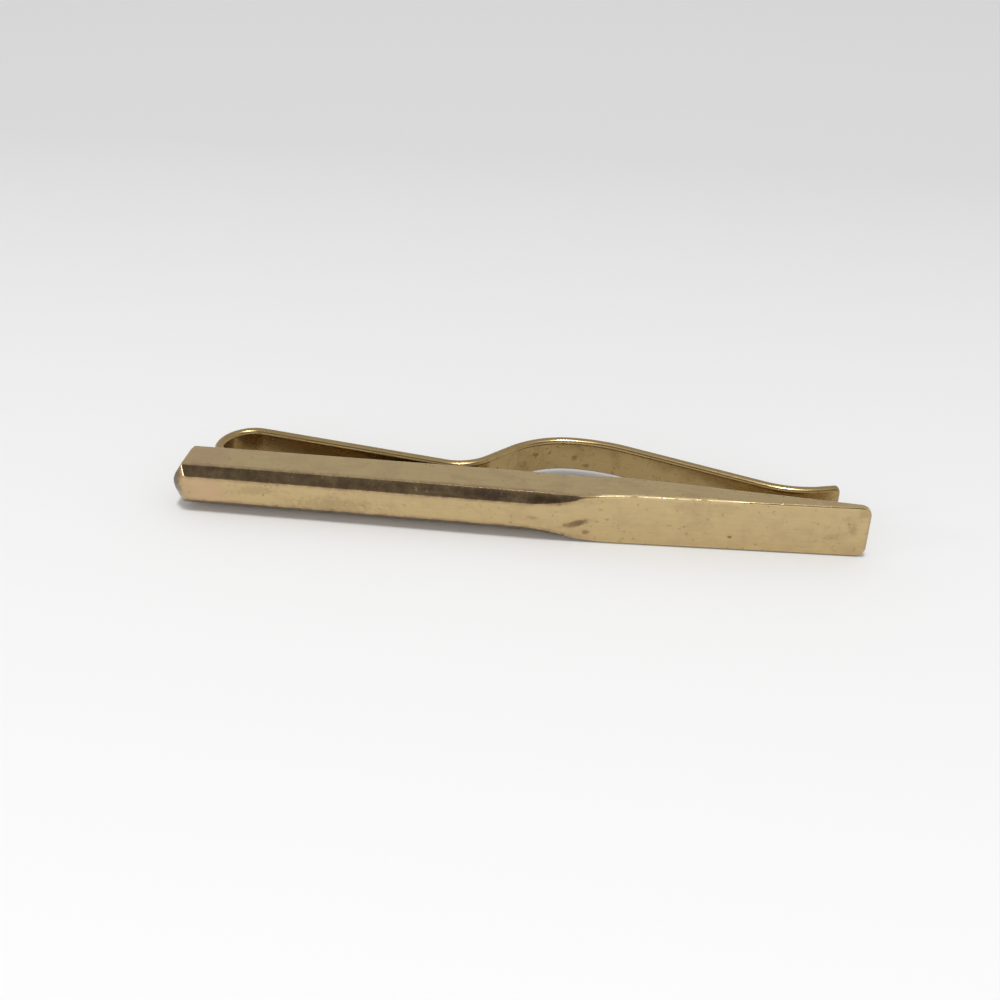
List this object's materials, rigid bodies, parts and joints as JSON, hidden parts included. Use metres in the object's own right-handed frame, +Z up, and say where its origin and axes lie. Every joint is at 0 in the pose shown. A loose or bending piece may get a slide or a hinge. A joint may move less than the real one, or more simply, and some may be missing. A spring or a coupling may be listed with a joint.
{
  "type": "tie clip",
  "caption": "Slide-on tie clip: a solid brass bar shaped like a small cold chisel, with a bowed spring strip soldered to its back that grips the tie.",
  "frame": {"origin": "middle of the bounding box at its bottom, with the clip standing on its long edge as pictured", "axes": "+X from the bar's head to its blade, -Y out of the bar's front face, +Y towards the spring strip, +Z up"},
  "size_m": [0.055, 0.0106, 0.0044],
  "materials": {
    "bar_brass": "worn polish",
    "strip_brass": "worn polish",
    "solder": "dull"
  },
  "bodies": {
    "bar": {"chisel_bar": "bar_brass", "spring_leg": "strip_brass", "solder_seam": "solder"},
    "arm": {"spring_arm": "strip_brass"}
  },
  "joints": [
    {"name": "arm_flex", "type": "hinge", "parent": "bar", "child": "arm", "pos_m": [-0.02545, 0.00013, 0.00202], "axis": [0, 0, 1], "range_deg": [0, 6], "stiffness_Nm_per_rad": 0.93}
  ]
}
